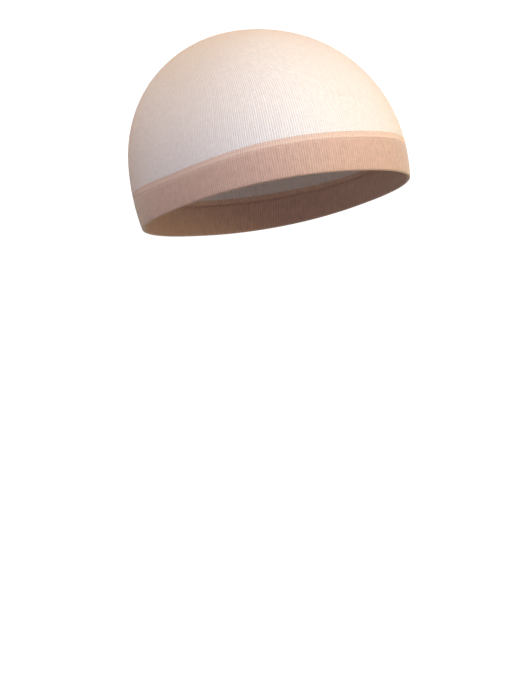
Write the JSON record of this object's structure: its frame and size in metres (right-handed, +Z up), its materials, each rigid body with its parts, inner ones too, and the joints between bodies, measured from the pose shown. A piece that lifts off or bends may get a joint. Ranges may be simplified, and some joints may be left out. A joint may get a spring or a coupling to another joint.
{
  "type": "wig cap",
  "caption": "Stretch-knit wig cap in its worn form: a sheer domed crown, a light shadow strip, a turned double welt at the hairline and a linked closing seam, open below for the head.",
  "frame": {"origin": "highest point of the inside of the crown, where the top of the head bears against the cap", "axes": "+Z up as worn, the face looks along -Y, the wearer's left is +X"},
  "size_m": [0.1502, 0.1875, 0.1307],
  "materials": {
    "sheer_knit": "sheer nylon and elastane stocking knit, one ply, pale beige, with fine upright wales",
    "strip_knit": "closer courses of the same knit, light peach",
    "welt_knit": "double-ply nylon and elastane knit, rosy beige, with fine upright wales",
    "seam_linking": "linked and overedged nylon thread, beige"
  },
  "bodies": {
    "root": {"crown": "sheer_knit", "shadow_strip": "strip_knit", "welt": "welt_knit", "closing_seam": "seam_linking"}
  },
  "joints": []
}
